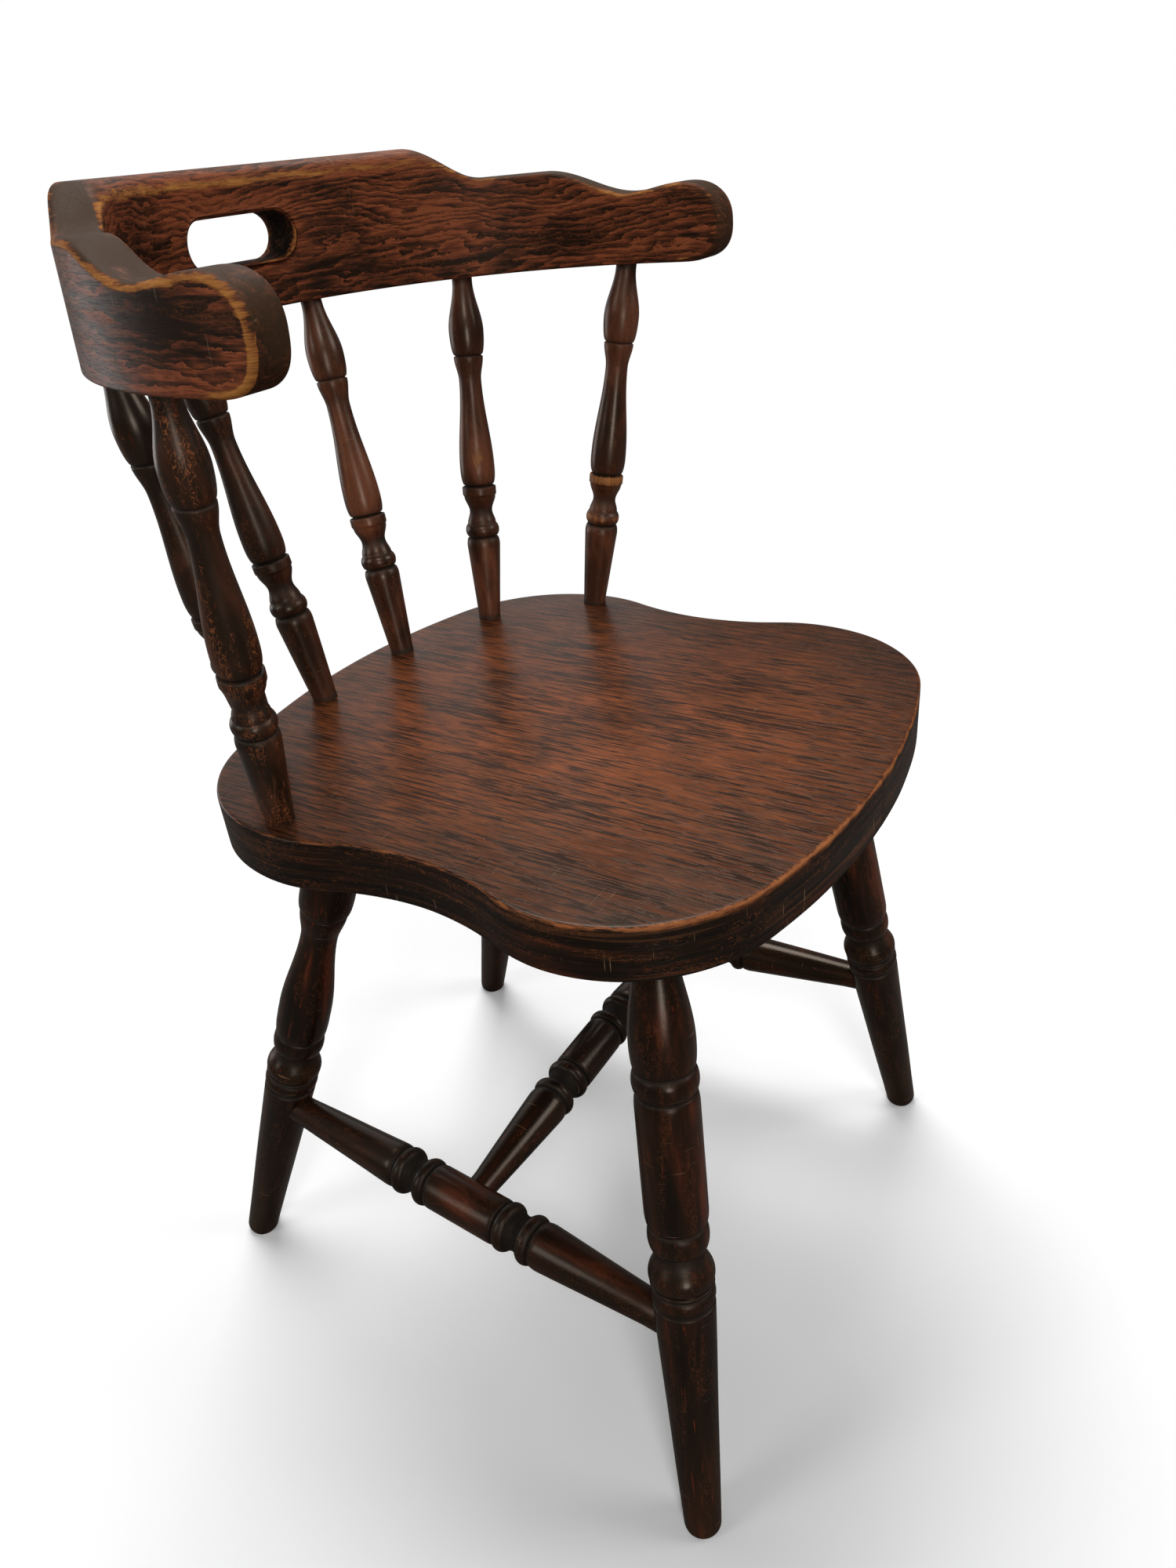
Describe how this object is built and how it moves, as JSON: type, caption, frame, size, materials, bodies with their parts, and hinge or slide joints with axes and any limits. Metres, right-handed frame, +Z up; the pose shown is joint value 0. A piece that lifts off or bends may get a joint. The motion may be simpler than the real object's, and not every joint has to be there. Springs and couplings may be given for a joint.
{
  "type": "captain's chair",
  "caption": "Low-backed wooden captain's chair: shaped flat seat, splayed turned legs with stretchers, and a bent crest and arm rail with a hand slot, carried on turned spindles.",
  "frame": {"origin": "on the floor, under the middle of the chair's outline", "axes": "+Z up; the front of the seat faces -Y; the sitter's left is +X"},
  "size_m": [0.436, 0.4673, 0.771],
  "materials": {
    "seat_wood": "dark walnut stain under satin varnish, rubbed to orange-brown along the grain and ochre on the top arris",
    "rail_wood": "dark walnut stain under satin varnish, streaked grain, arrises worn to bare ochre wood, dusty top",
    "turned_wood": "dark walnut stain under satin varnish, dirt in the grooves, rubbed red-brown on the beads and barrels, small pale scuffs"
  },
  "bodies": {
    "root": {"seat": "seat_wood", "crest_and_arm_rail": "rail_wood", "leg_front_left": "turned_wood", "leg_front_right": "turned_wood", "leg_back_left": "turned_wood", "leg_back_right": "turned_wood", "spindle_front_left": "turned_wood", "spindle_front_right": "turned_wood", "spindle_middle_left": "turned_wood", "spindle_middle_right": "turned_wood", "spindle_back_left": "turned_wood", "spindle_back_right": "turned_wood", "side_stretcher_left": "turned_wood", "side_stretcher_right": "turned_wood", "centre_stretcher": "turned_wood"}
  },
  "joints": []
}
